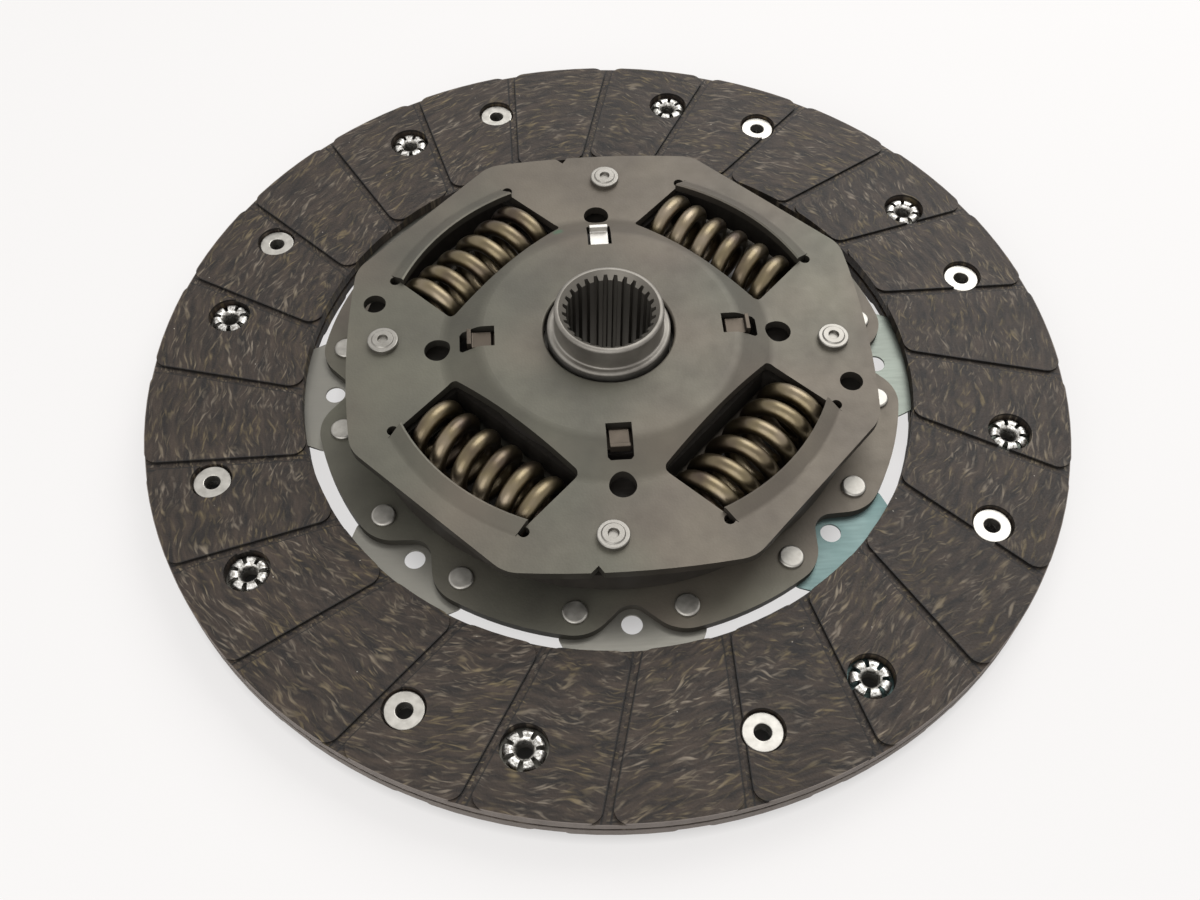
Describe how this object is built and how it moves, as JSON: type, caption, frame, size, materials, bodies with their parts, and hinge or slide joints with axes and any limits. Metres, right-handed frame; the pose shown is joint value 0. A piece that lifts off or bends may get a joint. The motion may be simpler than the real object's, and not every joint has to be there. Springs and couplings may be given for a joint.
{
  "type": "clutch disc",
  "caption": "Driven clutch disc: grooved ring facings on wavy cushion segments, riveted round a torsion damper with coil springs between plates, and a splined hub.",
  "frame": {"origin": "on the disc's axis at the flywheel-side end of the hub, the lowest point of the part", "axes": "+Z along the axis towards the gearbox side, which faces up; +X through a stop-pin slot of the hub flange and the middle of a cushion segment"},
  "size_m": [0.24, 0.24, 0.0372],
  "materials": {
    "facing": "matte, fibre-filled resin",
    "plate_steel": "satin",
    "spring_sheet": "satin",
    "rivet_steel": "satin",
    "pin_zinc": "zinc plated",
    "spring_wire": "oiled, tempered",
    "idle_spring_wire": "satin",
    "hub_steel": "dark satin",
    "friction_plastic": "matte",
    "bush_plastic": "matte"
  },
  "bodies": {
    "disc": {"facing_gearbox_side": "facing", "facing_flywheel_side": "facing", "cushion_segment_1": "spring_sheet", "cushion_segment_2": "spring_sheet", "cushion_segment_3": "spring_sheet", "cushion_segment_4": "spring_sheet", "cushion_segment_5": "spring_sheet", "cushion_segment_6": "spring_sheet", "cushion_segment_7": "spring_sheet", "cushion_segment_8": "spring_sheet", "facing_rivets_gearbox_side": "rivet_steel", "facing_rivets_flywheel_side": "rivet_steel", "segment_rivets": "rivet_steel", "drive_plate": "plate_steel", "retaining_plate": "plate_steel", "stop_pin_1": "pin_zinc", "stop_pin_2": "pin_zinc", "stop_pin_3": "pin_zinc", "stop_pin_4": "pin_zinc", "friction_ring_gearbox_side": "friction_plastic", "friction_ring_flywheel_side": "friction_plastic", "diaphragm_spring": "spring_sheet", "support_ring": "spring_sheet", "centring_bush": "bush_plastic"},
    "flange": {"hub_flange": "plate_steel"},
    "hub": {"hub": "hub_steel", "idle_plate": "plate_steel"},
    "main_springs": {"main_spring_1": "spring_wire", "main_spring_2": "spring_wire", "main_spring_3": "spring_wire", "main_spring_4": "spring_wire"},
    "idle_springs": {"idle_spring_1": "idle_spring_wire", "idle_spring_2": "idle_spring_wire", "idle_spring_3": "idle_spring_wire", "idle_spring_4": "idle_spring_wire"}
  },
  "joints": [
    {"name": "main_damper", "type": "hinge", "parent": "disc", "child": "flange", "pos_m": [0, 0, 0.01595], "axis": [0, 0, 1], "range_deg": [-12, 5.3], "stiffness_Nm_per_rad": 4, "deforming": ["main_spring_1", "main_spring_2", "main_spring_3", "main_spring_4"]},
    {"name": "main_spring_follow", "type": "hinge", "parent": "disc", "child": "main_springs", "pos_m": [0, 0, 0.01595], "axis": [0, 0, 1], "range_deg": [-6, 2.65]},
    {"name": "idle_damper", "type": "hinge", "parent": "flange", "child": "hub", "pos_m": [0, 0, 0.01595], "axis": [0, 0, 1], "range_deg": [-5, 3], "stiffness_Nm_per_rad": 1, "deforming": ["idle_spring_1", "idle_spring_2", "idle_spring_3", "idle_spring_4"]},
    {"name": "idle_spring_follow", "type": "hinge", "parent": "flange", "child": "idle_springs", "pos_m": [0, 0, 0.01595], "axis": [0, 0, 1], "range_deg": [-2.5, 1.5]}
  ],
  "couplings": [
    {"joint": "main_spring_follow", "follows": "main_damper", "ratio": 0.5},
    {"joint": "idle_spring_follow", "follows": "idle_damper", "ratio": 0.5}
  ]
}
